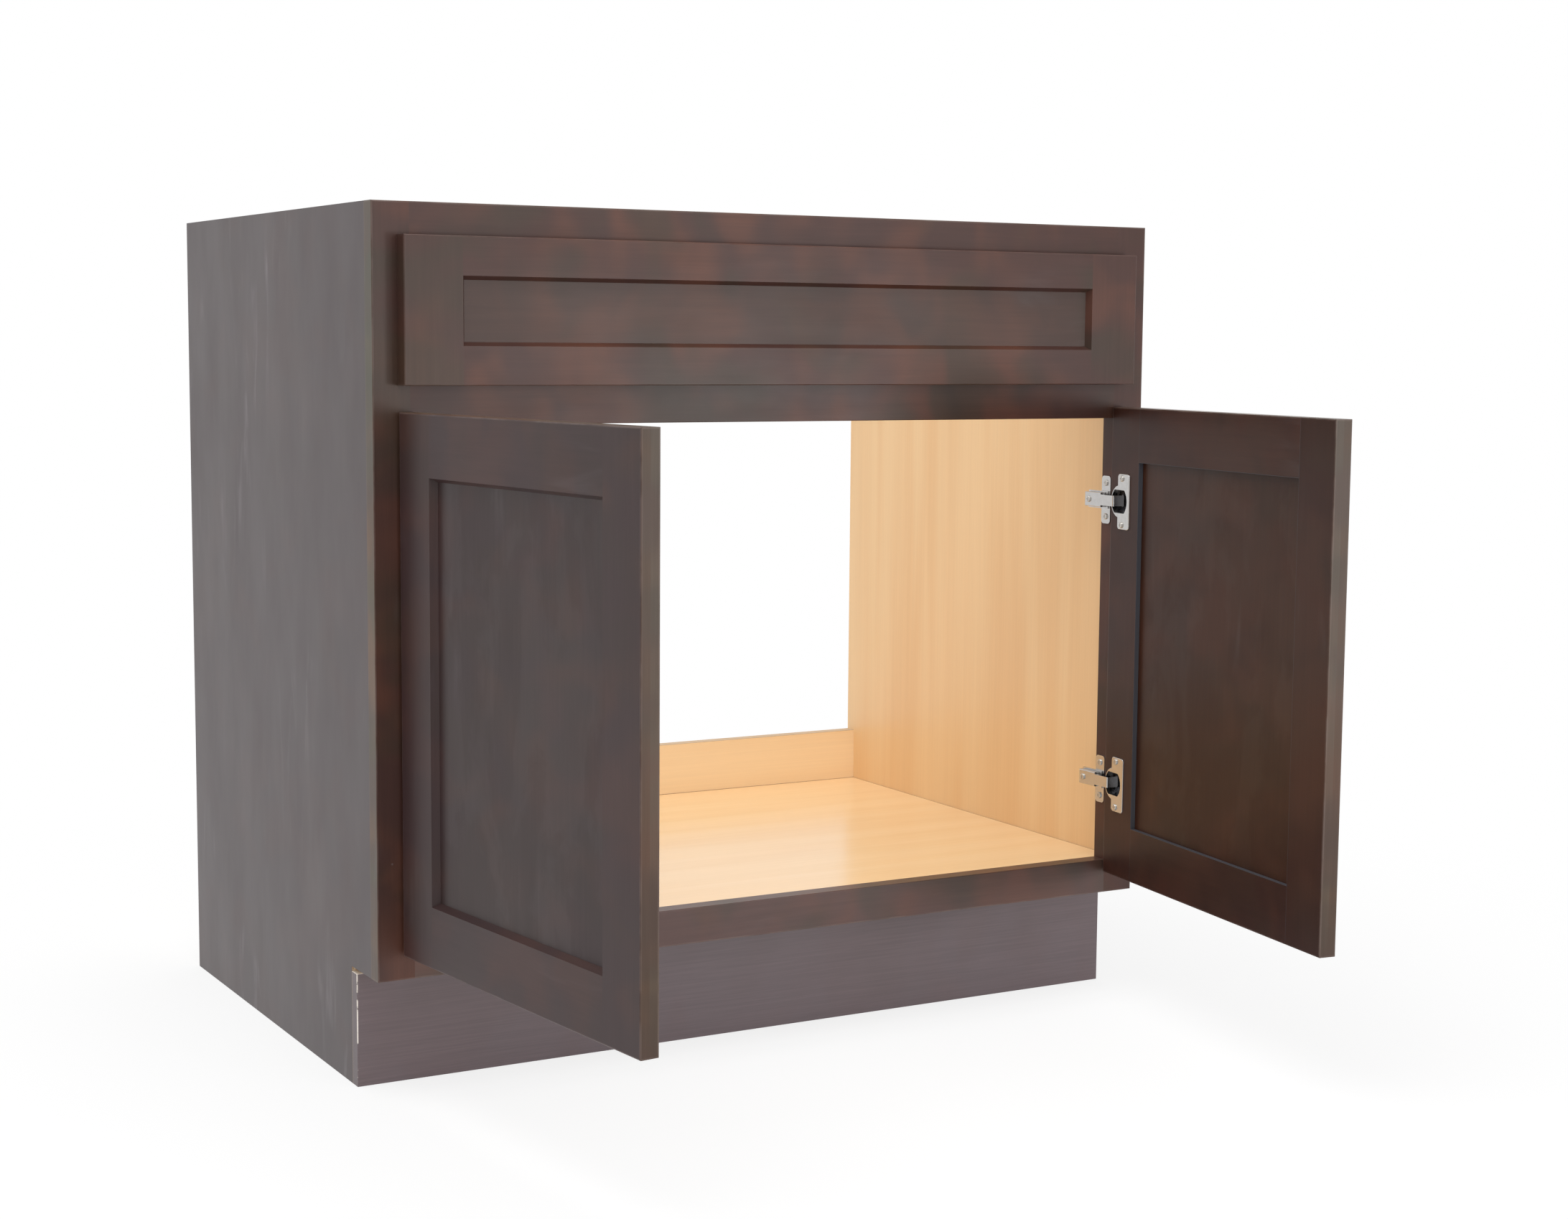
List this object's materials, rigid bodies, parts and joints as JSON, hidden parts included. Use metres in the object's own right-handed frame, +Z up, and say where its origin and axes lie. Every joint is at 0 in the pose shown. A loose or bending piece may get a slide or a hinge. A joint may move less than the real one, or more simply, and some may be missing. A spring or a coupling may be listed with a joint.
{
  "type": "vanity base cabinet",
  "caption": "Open-backed sink base cabinet with a dark stained face frame, a fixed false drawer front and a pair of shaker doors on concealed cup hinges.",
  "frame": {"origin": "on the floor, under the middle of the toe-kick board", "axes": "+X to the right as seen from the front, +Y from the front to the wall, +Z up"},
  "size_m": [0.9144, 1.0437, 0.8763],
  "materials": {
    "espresso_frame": "satin espresso stain, faint mottling",
    "espresso_front": "satin espresso stain, edges worn lighter",
    "espresso_panel": "satin espresso stain on a flat panel",
    "side_board": "satin espresso outside, clear maple inside",
    "toe_board": "matt espresso, raw on top",
    "maple_ply": "clear satin maple",
    "raw_wood": "unfinished",
    "nickel_steel": "bright nickel plating",
    "screw_steel": "zinc plating"
  },
  "bodies": {
    "cabinet": {"back_bottom_rail": "maple_ply", "back_top_rail": "maple_ply", "corner_block_back_left": "raw_wood", "corner_block_back_right": "raw_wood", "corner_block_front_left": "raw_wood", "corner_block_front_right": "raw_wood", "face_frame_bottom_rail": "espresso_frame", "face_frame_dowels": "raw_wood", "face_frame_left_stile": "espresso_frame", "face_frame_mid_rail": "espresso_frame", "face_frame_right_stile": "espresso_frame", "face_frame_top_rail": "espresso_frame", "false_front_bottom_rail": "espresso_front", "false_front_left_cleat": "raw_wood", "false_front_left_stile": "espresso_front", "false_front_panel": "espresso_panel", "false_front_right_cleat": "raw_wood", "false_front_right_stile": "espresso_front", "false_front_screws": "screw_steel", "false_front_top_rail": "espresso_front", "floor_panel": "maple_ply", "hinge_adjusting_screws": "screw_steel", "hinge_base_screws": "screw_steel", "left_lower_hinge_arm": "nickel_steel", "left_lower_hinge_base": "nickel_steel", "left_side_panel": "side_board", "left_upper_hinge_arm": "nickel_steel", "left_upper_hinge_base": "nickel_steel", "right_lower_hinge_arm": "nickel_steel", "right_lower_hinge_base": "nickel_steel", "right_side_panel": "side_board", "right_upper_hinge_arm": "nickel_steel", "right_upper_hinge_base": "nickel_steel", "toe_kick_board": "toe_board"},
    "left_door": {"left_door_bottom_rail": "espresso_front", "left_door_free_stile": "espresso_front", "left_door_hinge_stile": "espresso_front", "left_door_panel": "espresso_panel", "left_door_top_rail": "espresso_front", "left_hinge_cup_screws": "screw_steel", "left_lower_hinge_cup": "nickel_steel", "left_lower_hinge_pin": "nickel_steel", "left_upper_hinge_cup": "nickel_steel", "left_upper_hinge_pin": "nickel_steel"},
    "right_door": {"right_door_bottom_rail": "espresso_front", "right_door_free_stile": "espresso_front", "right_door_hinge_stile": "espresso_front", "right_door_panel": "espresso_panel", "right_door_top_rail": "espresso_front", "right_hinge_cup_screws": "screw_steel", "right_lower_hinge_cup": "nickel_steel", "right_lower_hinge_pin": "nickel_steel", "right_upper_hinge_cup": "nickel_steel", "right_upper_hinge_pin": "nickel_steel"}
  },
  "joints": [
    {"name": "left_door_hinge", "type": "hinge", "parent": "cabinet", "child": "left_door", "pos_m": [-0.4238, -0.0815, 0.41108], "axis": [0, 0, -1], "range_deg": [-83.8, 21.2]},
    {"name": "right_door_hinge", "type": "hinge", "parent": "cabinet", "child": "right_door", "pos_m": [0.4238, -0.0815, 0.41108], "axis": [0, 0, 1], "range_deg": [-82.7, 22.3]}
  ]
}
